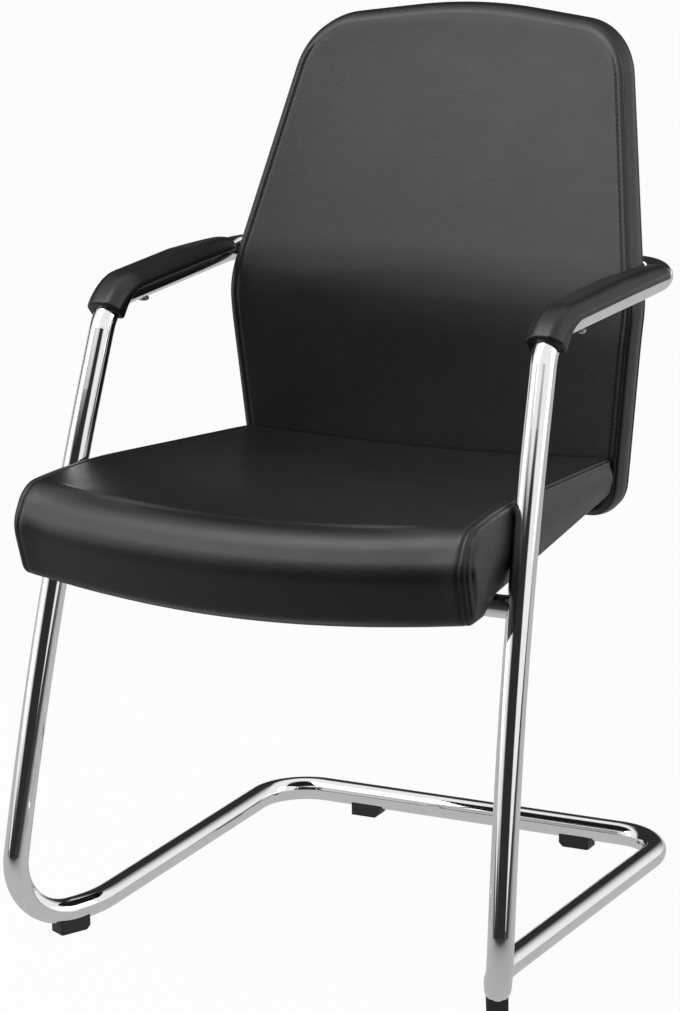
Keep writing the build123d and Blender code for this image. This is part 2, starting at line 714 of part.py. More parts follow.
both_rooms = [screw_rooms, mirrored(screw_rooms)]
for room in both_rooms:
    seat_board -= room
    seat_foam -= room
    seat_cover -= room
    back_board -= room
    back_foam -= room
    back_front_cover -= room

add_pair("seat_back_bracket", bracket)
nodes["bracket_screws"] = Compound(wood_screw_shapes)
nodes["seat_screws"] = Compound(seat_bolt_shapes)
nodes["seat_nuts"] = Compound(seat_nut_shapes)
nodes["back_screws"] = Compound(back_bolt_shapes)
nodes["back_nuts"] = Compound(back_nut_shapes)
nodes["seat_board"] = seat_board
nodes["seat_foam"] = seat_foam
nodes["seat_cover"] = seat_cover
nodes["seat_liner"] = seat_liner
nodes["back_board"] = back_board
nodes["back_foam"] = back_foam
nodes["back_front_cover"] = back_front_cover
nodes["back_rear_cover"] = back_rear_cover

# Hand out every piece with the origin on the floor under the middle of the whole box
box = Compound([solid for shape in nodes.values() for solid in shape.solids()]).bounding_box()
to_origin = Pos(-box.center().X, -box.center().Y, -box.min.Z)
os.makedirs("parts", exist_ok=True)
for name, shape in nodes.items():
    export_step(to_origin * Compound(shape.solids()), os.path.join("parts", name + ".step"))
print("box", box.size, "pieces", len(nodes))
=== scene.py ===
"""Conference armchair: leather seat and back, moulded arm pads and chrome tube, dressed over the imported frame.

Metres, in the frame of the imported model: X to the sitter's left, Y to the rear, Z up.
"""

import json
import logging
from dataclasses import dataclass, field
from enum import Enum
from functools import reduce
from math import cos, pi, radians, sin, tan
from operator import mul
from typing import Any, Sequence

import bmesh
import bpy
import numpy as np
from mathutils import Matrix, Vector
from numpy.typing import NDArray


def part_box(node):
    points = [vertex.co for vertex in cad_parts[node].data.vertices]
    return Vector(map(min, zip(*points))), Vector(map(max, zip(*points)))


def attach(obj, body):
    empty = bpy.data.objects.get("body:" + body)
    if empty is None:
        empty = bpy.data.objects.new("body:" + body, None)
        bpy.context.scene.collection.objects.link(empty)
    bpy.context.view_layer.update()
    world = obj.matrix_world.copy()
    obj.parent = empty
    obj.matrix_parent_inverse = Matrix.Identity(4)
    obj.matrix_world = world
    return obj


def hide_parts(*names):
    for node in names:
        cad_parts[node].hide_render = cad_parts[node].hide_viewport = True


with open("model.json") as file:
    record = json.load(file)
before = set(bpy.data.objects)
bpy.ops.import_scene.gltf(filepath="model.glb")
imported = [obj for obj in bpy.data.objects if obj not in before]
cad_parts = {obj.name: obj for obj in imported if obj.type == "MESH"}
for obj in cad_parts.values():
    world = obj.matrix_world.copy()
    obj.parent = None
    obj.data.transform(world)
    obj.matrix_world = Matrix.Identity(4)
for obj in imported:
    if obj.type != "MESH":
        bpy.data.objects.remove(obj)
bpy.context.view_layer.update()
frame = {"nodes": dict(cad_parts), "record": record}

Array = NDArray[np.float64]
Numbers = NDArray[np.int64]
Point = tuple[float, float, float]
Colour = tuple[float, float, float]
Span = tuple[float, float]
ROOT = "root"
WELD_REACH, SLIVER = 2e-6, 1e-6
LOG = logging.getLogger("conference_chair")


class Side(Enum):
    """The sitter's sides, with the sign of X on each."""

    LEFT = 1
    RIGHT = -1


class Pattern(Enum):
    """The kinds of fine relief that a finish can have."""

    HIDE = "cells of grain with faint creases"
    SPECKLE = "fine sand of a mould or a powder coat"
    WIPED = "faint smears on polished plate"
    WEAVE = "crossed threads"
    VENEER = "long wood grain"


# Shared geometry

def unit(vectors: Array) -> Array:
    """Vectors of length one, along the last axis."""
    return vectors / np.maximum(np.linalg.norm(vectors, axis=-1, keepdims=True), 1e-12)


def smooth_step(values: Array, low: float, high: float) -> Array:
    """A soft switch from 0 at low to 1 at high: three squares less two cubes of the share."""
    share = np.clip((np.asarray(values) - low) / (high - low), 0.0, 1.0)
    return share * share * (3.0 - 2.0 * share)


def dent(values: Array, centre: float, width: float) -> Array:
    """A bell curve of height one round a centre."""
    return np.exp(-((np.asarray(values) - centre) / width) ** 2)


def rounded(corners: Array, radii: Sequence[float] | Array, arcs: Sequence[int], runs: Sequence[int]) -> Array:
    """Closed corner lines with round corners, many lines at once.

    Each corner gives way to the arc that touches both of its runs. The arc starts radius / tan(half the corner's
    angle) before the corner, and its points are turned evenly from its start to its end round its centre. The
    straight run to the next arc is divided evenly.

    Args:
        corners: corner points, of shape (lines, corners, axes).
        radii: each corner's radius, the same for all lines or one set a line.
        arcs: steps in each corner's arc.
        runs: steps in the straight run after each corner.

    Returns:
        Points of shape (lines, sum of all steps, axes).
    """
    before = unit(np.roll(corners, 1, axis=-2) - corners)
    after = unit(np.roll(corners, -1, axis=-2) - corners)
    half = np.arccos(np.clip((before * after).sum(-1), -1.0, 1.0)) / 2
    radius = np.asarray(radii, dtype=float)
    reach = (radius / np.tan(half))[..., None]
    start, end = corners + before * reach, corners + after * reach
    centre = corners + unit(before + after) * (radius / np.sin(half))[..., None]
    turn = pi - 2 * half
    parts = []
    for k in range(corners.shape[-2]):
        share = np.linspace(0.0, 1.0, arcs[k] + 1)
        angle = turn[..., k, None]
        weights = np.stack([np.sin((1 - share) * angle), np.sin(share * angle)], axis=-1) / np.sin(angle)[..., None]
        spokes = np.stack([start[..., k, :] - centre[..., k, :], end[..., k, :] - centre[..., k, :]], axis=-2)
        parts.append(centre[..., k, None, :] + weights @ spokes)
        share = np.linspace(0.0, 1.0, runs[k] + 1)[1:-1, None]
        following = start[..., (k + 1) % corners.shape[-2], :]
        parts.append(end[..., k, None, :] * (1 - share) + following[..., None, :] * share)
    return np.concatenate(parts, axis=-2)


def arc_middle(corner: int, arcs: Sequence[int], runs: Sequence[int]) -> int:
    """Index of the middle of one corner's arc among the points of rounded()."""
    return sum(arcs[:corner]) + sum(runs[:corner]) + arcs[corner] // 2


def left_normals(loop: Array) -> Array:
    """Unit normals to the left of a closed plane line, from the points on both sides of each point."""
    along = unit(np.roll(loop, -1, axis=-2) - np.roll(loop, 1, axis=-2))
    return np.stack([-along[..., 1], along[..., 0]], axis=-1)


def coons(bottom: Array, right: Array, top: Array, left: Array) -> Array:
    """A patch between four border lines: both ruled surfaces less the plane of the corners.

    Args:
        bottom, top: lines from the left to the right border, of shape (columns, axes).
        right, left: lines from the bottom to the top border, of shape (rows, axes).

    Returns:
        Points of shape (rows, columns, axes).
    """
    u = np.linspace(0.0, 1.0, len(bottom))[None, :, None]
    v = np.linspace(0.0, 1.0, len(left))[:, None, None]
    across = (1 - v) * bottom[None] + v * top[None]
    upward = (1 - u) * left[:, None] + u * right[:, None]
    corners = ((1 - v) * ((1 - u) * bottom[0] + u * bottom[-1]) + v * ((1 - u) * top[0] + u * top[-1]))
    return across + upward - corners


def along_path(path: Array, values: Array, distances: Array) -> Array:
    """Values carried by a path's points, read at distances along it.

    Args:
        path: points of shape (points, 3).
        values: what each point carries, of shape (points, axes).
        distances: where to read, from the path's start.

    Returns:
        Values of shape (distances, axes).
    """
    steps = np.linalg.norm(np.diff(path, axis=0), axis=1)
    reached = np.concatenate([[0.0], np.cumsum(steps)])
    return np.stack([np.interp(distances, reached, column) for column in values.T], axis=1)


def path_length(path: Array) -> float:
    """Length of a line of points."""
    return float(np.linalg.norm(np.diff(path, axis=0), axis=1).sum())


def grid_normals(grid: Array) -> Array:
    """Unit normals of a grid of points, from the cross product of its two directions."""
    return unit(np.cross(np.gradient(grid, axis=0), np.gradient(grid, axis=1)))


def grid_faces(rows: int, columns: int, first: int = 0, around: bool = False) -> Numbers:
    """Four-sided faces of a grid of points.

    Args:
        rows, columns: size of the grid.
        first: number of the grid's first point.
        around: whether the last column joins the first.

    Returns:
        Point numbers of shape (faces, 4).
    """
    row, column = np.meshgrid(np.arange(rows - 1), np.arange(columns if around else columns - 1), indexing="ij")
    beside = (column + 1) % columns
    start, following = row * columns, (row + 1) * columns
    corners = [start + column, start + beside, following + beside, following + column]
    return first + np.stack([corner.ravel() for corner in corners], axis=1)


def welded(name: str, points: Array, faces: Numbers) -> bpy.types.Mesh:
    """A smooth closed mesh, with touching points welded and faces turned outwards.

    Args:
        name: the mesh's name.
        points: places of shape (points, 3).
        faces: point numbers of shape (faces, 4).

    Returns:
        The mesh.
    """
    mesh = bpy.data.meshes.new(name)
    mesh.from_pydata(points.tolist(), [], faces.tolist())
    work = bmesh.new()
    work.from_mesh(mesh)
    bmesh.ops.remove_doubles(work, verts=work.verts, dist=WELD_REACH)
    bmesh.ops.dissolve_degenerate(work, dist=SLIVER, edges=work.edges)
    bmesh.ops.recalc_face_normals(work, faces=work.faces)
    work.to_mesh(mesh)
    work.free()
    mesh.shade_smooth()
    return mesh


def mesh_of(name: str, grids: Sequence[tuple[Array, bool]]) -> bpy.types.Mesh:
    """One mesh from grids of points that close a volume between them.

    Args:
        name: the mesh's name.
        grids: each grid of shape (rows, columns, 3), and whether its last column joins its first.

    Returns:
        The mesh.
    """
    points, faces, first = [], [], 0
    for grid, around in grids:
        rows, columns = grid.shape[:2]
        faces.append(grid_faces(rows, columns, first, around))
        points.append(grid.reshape(-1, 3))
        first += rows * columns
    return welded(name, np.concatenate(points), np.concatenate(faces))


def add_piece(mesh: bpy.types.Mesh, finish: "Finish", levels: int = 0) -> bpy.types.Object:
    """Put a mesh into the scene as a piece of the chair.

    Args:
        mesh: the piece's mesh, in place.
        finish: what it is dressed with.
        levels: levels of subdivision that finish its surface.

    Returns:
        The piece's object.
    """
    piece = bpy.data.objects.new(mesh.name, mesh)
    bpy.context.scene.collection.objects.link(piece)
    piece.data.materials.append(finish.material())
    if levels:
        soft = piece.modifiers.new("soft surface", "SUBSURF")
        soft.levels = soft.render_levels = levels
    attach(piece, ROOT)
    LOG.info("%s: %d faces, %s", piece.name, len(mesh.polygons), finish.name)
    return piece


# Shader maths

class Value:
    """A number's socket that takes part in Python expressions."""

    def __init__(self, graph: "Graph", socket: bpy.types.NodeSocket) -> None:
        """Wrap one output socket of a graph."""
        self.graph, self.socket = graph, socket

    def math(self, operation: str, first: Any, second: Any) -> "Value":
        """The result of a Math node on two values."""
        return self.graph.value("ShaderNodeMath", {"operation": operation}, {0: first, 1: second})

    def __add__(self, other: Any) -> "Value":
        """Sum."""
        return self.math("ADD", self, other)

    def __mul__(self, other: Any) -> "Value":
        """Product."""
        return self.math("MULTIPLY", self, other)

    def __sub__(self, other: Any) -> "Value":
        """Difference."""
        return self.math("SUBTRACT", self, other)

    def __rsub__(self, other: Any) -> "Value":
        """Difference from a number."""
        return self.math("SUBTRACT", other, self)

    __radd__, __rmul__ = __add__, __mul__

    def at_least(self, other: Any) -> "Value":
        """The larger of two values."""
        return self.math("MAXIMUM", self, other)

    def ramp(self, low: float, high: float) -> "Value":
        """A soft switch from 0 at low to 1 at high, where low may be the larger."""
        return self.graph.value("ShaderNodeMapRange", {"interpolation_type": "SMOOTHSTEP"},
                                {"Value": self, "From Min": low, "From Max": high})


class Graph:
    """Adds nodes to one node tree and links them."""

    def __init__(self, tree: bpy.types.NodeTree) -> None:
        """Start an empty tree."""
        self.tree = tree
        tree.nodes.clear()

    def node(self, kind: str, settings: dict[str, Any], inputs: dict[Any, Any]) -> bpy.types.Node:
        """Add a node.

        Args:
            kind: the node's type.
            settings: its own settings, which are set first.
            inputs: a value or a link for each socket named or numbered.

        Returns:
            The node.
        """
        made = self.tree.nodes.new(kind)
        for key, value in settings.items():
            setattr(made, key, value)
        for key, value in inputs.items():
            if isinstance(value, Value):
                self.tree.links.new(value.socket, made.inputs[key])
            else:
                made.inputs[key].default_value = value
        return made

    def value(self, kind: str, settings: dict[str, Any], inputs: dict[Any, Any], output: Any = 0) -> Value:
        """Add a node and wrap one of its outputs."""
        return Value(self, self.node(kind, settings, inputs).outputs[output])

    def noise(self, place: Value, size: float, detail: float = 2.0) -> Value:
        """Soft noise with features of about one size in metres."""
        return self.value("ShaderNodeTexNoise", {}, {"Vector": place, "Scale": 1.0 / size, "Detail": detail}, "Fac")

    def dot(self, place: Value, axis: Point) -> Value:
        """How far a place lies along an axis."""
        return self.value("ShaderNodeVectorMath", {"operation": "DOT_PRODUCT"}, {0: place, 1: axis}, "Value")

    def blend(self, share: Value, low: Colour, high: Colour) -> Value:
        """A colour between two, by a share."""
        return self.value("ShaderNodeMix", {"data_type": "RGBA"},
                          {0: share, 6: (*low, 1.0), 7: (*high, 1.0)}, 2)


# Finishes

@dataclass(frozen=True)
class Finish:
    """A surface: two close colours, a roughness that drifts, and a fine relief."""

    name: str
    pattern: Pattern
    colour: Colour
    second_colour: Colour
    roughness: float
    roughness_swing: float
    grain: float
    relief: float
    patch: float = 0.05
    metallic: float = 0.0
    specular: float = 0.5
    sheen: float = 0.0

    def height(self, graph: Graph, place: Value) -> Value:
        """Height of the fine relief over the surface.

        Hide is cells, shaken by a coarser noise, under broad creases. A weave is the higher of two crossed waves,
        veneer is noise drawn out along Y, and the rest is plain noise.

        Args:
            graph: the graph to add to.
            place: object coordinates.

        Returns:
            The height, from 0 to about 1.
        """
        if self.pattern is Pattern.HIDE:
            warp_scale, warp_reach, cell_smoothness, crease_size = 0.4, 0.8, 0.35, 14
            cell_share, crease_share = 0.6, 0.9
            bent = graph.value("ShaderNodeTexNoise", {}, {"Vector": place, "Scale": warp_scale / self.grain}, "Color")
            shaken = graph.value("ShaderNodeVectorMath", {"operation": "MULTIPLY_ADD"},
                                 {0: bent, 1: (self.grain * warp_reach,) * 3, 2: place})
            cells = graph.value("ShaderNodeTexVoronoi", {"feature": "SMOOTH_F1"},
                                {"Vector": shaken, "Scale": 1.0 / self.grain, "Smoothness": cell_smoothness},
                                "Distance")
            creases = graph.noise(place, self.grain * crease_size, 3.0)
            return (1 - cells) * cell_share + creases * crease_share
        if self.pattern is Pattern.WEAVE:
            wave_scale, wobble = 0.31, 0.4
            threads = [graph.value("ShaderNodeTexWave", {"bands_direction": axis},
                                   {"Vector": place, "Scale": wave_scale / self.grain, "Distortion": wobble}, "Fac")
                       for axis in ("X", "Y")]
            return threads[0].at_least(threads[1])
        if self.pattern is Pattern.VENEER:
            squeeze = 0.08
            drawn = graph.value("ShaderNodeMapping", {}, {"Vector": place, "Scale": (1.0, squeeze, 1.0)})
            return graph.noise(drawn, self.grain, 4.0)
        return graph.noise(place, self.grain, 2.0)

    def material(self) -> bpy.types.Material:
        """The finish as a material, made once and then shared.

        Returns:
            The material.
        """
        known = bpy.data.materials.get(self.name)
        if known:
            return known
        made = bpy.data.materials.new(self.name)
        made.use_nodes = True
        graph = Graph(made.node_tree)
        place = graph.value("ShaderNodeTexCoord", {}, {}, "Object")
        height = self.height(graph, place)
        drift_span, wear_share = (0.3, 0.7), 0.35
        drift = graph.noise(place, self.patch, 3.0).ramp(*drift_span)
        wear = graph.noise(place, self.patch * wear_share, 4.0)
        bump = graph.value("ShaderNodeBump", {}, {"Height": height, "Distance": self.relief, "Strength": 1.0})
        shader = graph.value("ShaderNodeBsdfPrincipled", {}, {
            "Base Color": graph.blend(drift, self.colour, self.second_colour),
            "Roughness": self.roughness + (wear - 0.5) * (2 * self.roughness_swing),
            "Metallic": self.metallic, "Specular IOR Level": self.specular, "Sheen Weight": self.sheen,
            "Normal": bump})
        graph.node("ShaderNodeOutputMaterial", {}, {"Surface": shader})
        return made


LEATHER = Finish("black_leather", Pattern.HIDE, (0.0052, 0.0052, 0.0056), (0.0074, 0.0073, 0.0076), 0.41, 0.045,
                 grain=0.0011, relief=0.00014, patch=0.09)
MOULDED_PAD = Finish("moulded_polyurethane", Pattern.SPECKLE, (0.0115, 0.0115, 0.012), (0.015, 0.015, 0.0155),
                     0.37, 0.05, grain=0.0006, relief=0.00005, patch=0.03, specular=0.42)
CHROME = Finish("chrome_plate", Pattern.WIPED, (0.79, 0.80, 0.81), (0.83, 0.835, 0.84), 0.05, 0.02,
                grain=0.012, relief=0.00001, patch=0.03, metallic=1.0)
ZINC = Finish("zinc_plate", Pattern.SPECKLE, (0.50, 0.50, 0.49), (0.58, 0.57, 0.53), 0.32, 0.08,
              grain=0.0008, relief=0.00003, patch=0.006, metallic=1.0)
BLACK_STEEL = Finish("black_powder_coat", Pattern.SPECKLE, (0.018, 0.018, 0.019), (0.024, 0.024, 0.025), 0.5, 0.06,
                     grain=0.0007, relief=0.00006, patch=0.02)
NYLON = Finish("black_nylon", Pattern.SPECKLE, (0.014, 0.014, 0.015), (0.02, 0.02, 0.021), 0.48, 0.08,
               grain=0.0006, relief=0.00004, patch=0.012)
PLYWOOD = Finish("raw_plywood", Pattern.VENEER, (0.50, 0.36, 0.21), (0.60, 0.46, 0.29), 0.65, 0.08,
                 grain=0.003, relief=0.0001, patch=0.04)
LINING = Finish("spun_lining", Pattern.WEAVE, (0.016, 0.016, 0.017), (0.024, 0.024, 0.025), 0.85, 0.06,
                grain=0.0011, relief=0.0002, patch=0.03, sheen=0.1)
THREAD = Finish("black_thread", Pattern.SPECKLE, (0.018, 0.018, 0.019), (0.026, 0.026, 0.027), 0.5, 0.05,
                grain=0.0003, relief=0.00005, patch=0.004)
SLOT_FINISH = {"frame_tube": CHROME, "black_steel": BLACK_STEEL, "zinc_steel": ZINC, "arm_pad": MOULDED_PAD,
               "glide": NYLON, "plywood": PLYWOOD, "foam": LINING, "cover": LEATHER, "liner": LINING}


# Upholstery

@dataclass(frozen=True)
class Padding:
    """A cover blown out by its padding, worked out with the cloth solver on a panel held at its seams."""

    cap: float
    pressure: float = 4.0
    frames: int = 20
    mass: float = 0.35
    stretch: float = 40.0
    smoothing: int = 24

    def swell(self, panel: Array) -> Array:
        """How far each point of a panel moves when its padding presses on it.

        The panel's border is pinned. The rise along the normals is evened out, and capped by a hyperbolic tangent.

        Args:
            panel: a grid of points whose normals point out of the padding.

        Returns:
            Moves, of the panel's shape.
        """
        rows, columns = panel.shape[:2]
        mesh = bpy.data.meshes.new("panel")
        mesh.from_pydata(panel.reshape(-1, 3).tolist(), [], grid_faces(rows, columns).tolist())
        cloth = bpy.data.objects.new("panel", mesh)
        bpy.context.scene.collection.objects.link(cloth)
        number = np.arange(rows * columns).reshape(rows, columns)
        border = np.concatenate([number[0], number[-1], number[1:-1, 0], number[1:-1, -1]])
        cloth.vertex_groups.new(name="seam").add(border.tolist(), 1.0, "REPLACE")
        solver = cloth.modifiers.new("padding", "CLOTH")
        solver.settings.vertex_group_mass = "seam"
        solver.settings.mass = self.mass
        solver.settings.tension_stiffness = solver.settings.compression_stiffness = self.stretch
        solver.settings.use_pressure = True
        solver.settings.uniform_pressure_force = self.pressure
        solver.settings.effector_weights.gravity = 0.0
        solver.point_cache.frame_start, solver.point_cache.frame_end = 1, self.frames
        scene = bpy.context.scene
        for moment in range(1, self.frames + 1):
            scene.frame_set(moment)
        shaped = cloth.evaluated_get(bpy.context.evaluated_depsgraph_get()).to_mesh()
        reached = np.empty(rows * columns * 3)
        shaped.vertices.foreach_get("co", reached)
        scene.frame_set(1)
        bpy.data.objects.remove(cloth)
        bpy.data.meshes.remove(mesh)
        normals = grid_normals(panel)
        rise = ((reached.reshape(panel.shape) - panel) * normals).sum(-1)
        for _ in range(self.smoothing):
            beside = rise[:-2, 1:-1] + rise[2:, 1:-1] + rise[1:-1, :-2] + rise[1:-1, 2:]
            rise[1:-1, 1:-1] = rise[1:-1, 1:-1] / 2 + beside / 8
        return normals * (self.cap * np.tanh(rise / self.cap))[..., None]


@dataclass(frozen=True)
class EdgeSeam:
    """A sewn edge: a corner seam on the round of the edge, a flat welt, and a line of stitches beside it."""

    inset: float = 0.0098
    line_depth: float = 0.0010
    line_width: float = 0.0009
    corner_angle: float = 46.0
    corner_depth: float = 0.0014
    corner_width: float = 5.0
    welt_rise: float = 0.0005
    welt_place: float = 0.6
    welt_width: float = 0.25
    border: float = 0.0145
    angles: tuple[float, ...] = (0, 10, 20, 29, 36, 41, 46, 51, 56, 63, 71, 80, 90)
    flats: tuple[float, ...] = (0.0131, 0.0118, 0.0108, 0.0103, 0.0098, 0.0093, 0.0088)
    stitch_pitch: float = 0.0052
    stitch_length: float = 0.0040
    stitch_radius: float = 0.00038
    stitch_rows: int = 7
    stitch_sides: int = 6
    stitch_rise: float = 0.9
    stitch_dip: float = 1.6

    def rows(self, radius: float) -> tuple[Array, Array, Array]:
        """The edge's rows from the panel's border to the side.

        On the flat the rise is minus a bell curve at the line of stitches. On the round of the edge it is a low
        welt, less a bell curve of the angle at the corner seam.

        Args:
            radius: radius of the round edge.

        Returns:
            Inset from the side, drop from the face and outward rise of each row, and the turn of its normal.
        """
        flat = np.array([value for value in self.flats if value > radius + SLIVER])
        angle = np.array(self.angles, dtype=float)
        turn = np.radians(np.concatenate([np.zeros(len(flat)), angle]))
        inset = np.concatenate([flat, radius * (1 - np.sin(np.radians(angle)))])
        drop = np.concatenate([np.zeros(len(flat)), radius * (1 - np.cos(np.radians(angle)))])
        welt = self.welt_rise * dent(inset, self.inset * self.welt_place, self.inset * self.welt_width)
        line = self.line_depth * dent(inset, self.inset, self.line_width)
        corner = self.corner_depth * dent(np.degrees(turn), self.corner_angle, self.corner_width)
        return np.stack([inset, drop], axis=1), welt - line - corner, turn

    def stitches(self, name: str, lines: Sequence[tuple[Array, Array]]) -> bpy.types.Object:
        """Stitches along seam lines, each a six-sided bead that dips into the leather at both ends.

        A bead's radius is the root of one less the fourth power of its place from -1 to 1. Its axis stands proud of
        the seam line in the middle, and drops as the square of the place.

        Args:
            name: the piece's name.
            lines: points and outward normals along each line.

        Returns:
            The piece.
        """
        place = np.linspace(-1.0, 1.0, self.stitch_rows)
        turn = np.arange(self.stitch_sides) * (2 * pi / self.stitch_sides)
        swell = self.stitch_radius * np.sqrt(np.maximum(1 - place ** 4, 0.0))
        lift = self.stitch_radius * (self.stitch_rise - self.stitch_dip * place ** 2)
        step = self.stitch_length / 4
        bead = np.stack(np.broadcast_arrays((place * self.stitch_length / 2)[:, None],
                                            swell[:, None] * np.cos(turn),
                                            lift[:, None] + swell[:, None] * np.sin(turn)), axis=-1)
        grids = []
        for points, normals in lines:
            middles = np.arange(self.stitch_pitch, path_length(points) - self.stitch_pitch, self.stitch_pitch)
            at = along_path(points, points, middles)
            ahead = unit(along_path(points, points, middles + step) - along_path(points, points, middles - step))
            up = along_path(points, normals, middles)
            up = unit(up - ahead * (up * ahead).sum(-1, keepdims=True))
            axes = np.stack([ahead, np.cross(up, ahead), up], axis=1)
            grids.append(at[:, None, None] + np.einsum("rcb,nbk->nrck", bead, axes))
        beads = np.concatenate(grids)
        count, rows, columns = beads.shape[:3]
        faces = grid_faces(rows, columns, around=True)
        faces = (faces[None] + (np.arange(count) * rows * columns)[:, None, None]).reshape(-1, 4)
        return add_piece(welded(name, beads.reshape(-1, 3), faces), THREAD)


SEAM = EdgeSeam()


@dataclass
class Back:
    """The upholstered back: hollow from side to side, upright below the lumbar and raked above it."""

    shift: float
    half_width: float = 0.229
    hollow: float = 0.022
    front_y: float = 0.147
    rake: float = radians(18.9)
    lumbar_z: float = 0.602
    lumbar_radius: float = 0.280
    thickness: float = 0.040
    top_thickness: float = 0.033
    top_z: float = 0.888
    shoulder_z: float = 0.867
    shoulder_half_width: float = 0.1765
    waist_z: float = 0.602
    bottom_z: float = 0.386
    bottom_half_width: float = 0.207
    rounds: tuple[float, ...] = (0.034, 0.128, 0.066, 0.560, 0.066, 0.128, 0.034)
    arcs: tuple[int, ...] = (8, 12, 16, 24, 16, 12, 8)
    runs: tuple[int, ...] = (18, 24, 6, 6, 24, 18, 44)
    front_round: float = 0.009
    rear_round: float = 0.008
    rear_turns: tuple[float, ...] = (0, 15, 30, 45, 60, 75, 90)
    rear_lap: float = 0.009
    lap_margin: float = 0.0012
    lap_rows: tuple[float, ...] = (-0.0008, 0.0, 0.0008)
    lap_depth: float = 0.0011
    lap_width: float = 0.0009
    side_rows: int = 9
    side_bulge: float = 0.0012
    seam_bottom_margin: float = 0.012
    seam_inner_x: float = 0.05
    seam_top_z: float = 0.850
    seam_fade: float = 0.012
    padding: Padding = field(default_factory=lambda: Padding(cap=0.0025))

    def front(self, x: Array, z: Array) -> Array:
        """Y of the front: upright, an arc round the lumbar, then raked, plus a hollow that fades as x squared.

        Args:
            x, z: places in the front view.

        Returns:
            Y of the front at each place, in the source's frame.
        """
        start = self.lumbar_z - self.lumbar_radius * tan(self.rake / 2)
        end = start + self.lumbar_radius * sin(self.rake)
        share = np.clip((z - start) / self.lumbar_radius, 0.0, sin(self.rake))
        arc = self.lumbar_radius * (1 - np.sqrt(1 - share ** 2))
        line = self.front_y + arc + np.maximum(z - end, 0.0) * tan(self.rake)
        return line + self.hollow * (1 - (x / self.half_width) ** 2)

    def depth(self, z: Array) -> Array:
        """Thickness: even up to the lumbar, then thinner in proportion to the height."""
        share = np.maximum(0.0, (z - self.lumbar_z) / (self.top_z - self.lumbar_z))
        return self.thickness + (self.top_thickness - self.thickness) * share

    def outline(self) -> Array:
        """The front view's closed outline, which runs up the sitter's left side and down the right.

        Returns:
            Points of shape (points, 2), in x and z.
        """
        right = [(self.bottom_half_width, self.bottom_z), (self.half_width, self.waist_z),
                 (self.shoulder_half_width, self.shoulder_z)]
        left = [(-x, z) for x, z in reversed(right)]
        corners = np.array([*right, (0.0, self.top_z), *left])
        return rounded(corners[None], self.rounds, self.arcs, self.runs)[0]

    def placed(self, xz: Array, offset: Array) -> Array:
        """Points of the chair from x, z and an offset in Y behind the front surface."""
        x, z = xz[..., 0], xz[..., 1]
        return np.stack([x, self.front(x, z) + offset + self.shift, z], axis=-1)

    def patch(self, ring: Array) -> Array:
        """The panel inside a ring of the outline, as a patch between its four sides.

        Args:
            ring: the outline's points, drawn in.

        Returns:
            Points of shape (rows, columns, 2), from the bottom up and from -X to +X.
        """
        marks = [arc_middle(corner, self.arcs, self.runs) for corner in (0, 2, 4, 6)]
        ring = np.roll(ring, -marks[0], axis=0)
        a, b, c = (mark - marks[0] for mark in marks[1:])
        ring = np.concatenate([ring, ring[:1]])
        right, top, left, bottom = ring[:a + 1], ring[a:b + 1], ring[b:c + 1], ring[c:]
        return coons(bottom, right, top[::-1], left[::-1])

    def build(self) -> bpy.types.Object:
        """Model the back as one closed cushion, with its seams and stitches.

        Rings of the outline, drawn in by an inset and set back by a depth, carry the edge's section round the
        back. Patches close the front and the rear.

        Returns:
            The cushion.
        """
        loop = self.outline()
        outward = -left_normals(loop)
        sewn = 1 - smooth_step(loop[:, 1], self.seam_top_z - self.seam_fade, self.seam_top_z)
        edge, rise, turn = SEAM.rows(self.front_round)
        rings = []
        for (inset, drop), lift, angle in zip(edge, rise, turn):
            xz = loop - outward * inset + outward * (sewn * lift * sin(angle))[:, None]
            rings.append(self.placed(xz, drop - sewn * lift * cos(angle)))
        seam_ring = int(np.argmin(np.abs(edge[:, 0] - SEAM.inset)))
        depth = self.depth(loop[:, 1])
        for share in np.linspace(0.0, 1.0, self.side_rows)[1:]:
            behind = self.front_round + share * (depth - self.rear_lap - self.lap_margin - self.front_round)
            xz = loop + outward * (self.side_bulge * sin(pi * share))
            rings.append(self.placed(xz, behind))
        for step in self.lap_rows:
            groove = self.lap_depth * dent(step, 0.0, self.lap_width)
            rings.append(self.placed(loop - outward * groove, depth - self.rear_lap + step))
        for angle in np.radians(self.rear_turns):
            inset = self.rear_round * (1 - cos(angle))
            rings.append(self.placed(loop - outward * inset, depth - self.rear_round * (1 - sin(angle))))
        inner_ring = loop - outward * SEAM.border
        patch = self.patch(inner_ring)
        front = self.placed(patch[:, ::-1], np.zeros(patch.shape[:2]))
        front = front + self.padding.swell(front)
        rear = self.placed(patch, self.depth(patch[..., 1]))
        border = self.placed(inner_ring, np.zeros(len(loop)))
        rear_border = self.placed(inner_ring, self.depth(inner_ring[:, 1]))
        band = np.stack([border, *rings, rear_border])
        mesh = mesh_of("back_cushion", [(band, True), (front, False), (rear, False)])
        cushion = add_piece(mesh, LEATHER, levels=1)
        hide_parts("back_front_cover", "back_rear_cover", "back_foam")
        line = rings[seam_ring]
        normals = np.tile([0.0, -1.0, 0.0], (len(loop), 1))
        low, high = self.bottom_z + self.seam_bottom_margin, self.seam_top_z - self.seam_fade
        lines = []
        for side in Side:
            chosen = (line[:, 0] * side.value > self.seam_inner_x) & (loop[:, 1] > low) & (loop[:, 1] < high)
            order = np.argsort(line[chosen, 2])
            lines.append((line[chosen][order], normals[chosen][order]))
        SEAM.stitches("back_stitches", lines)
        return cushion


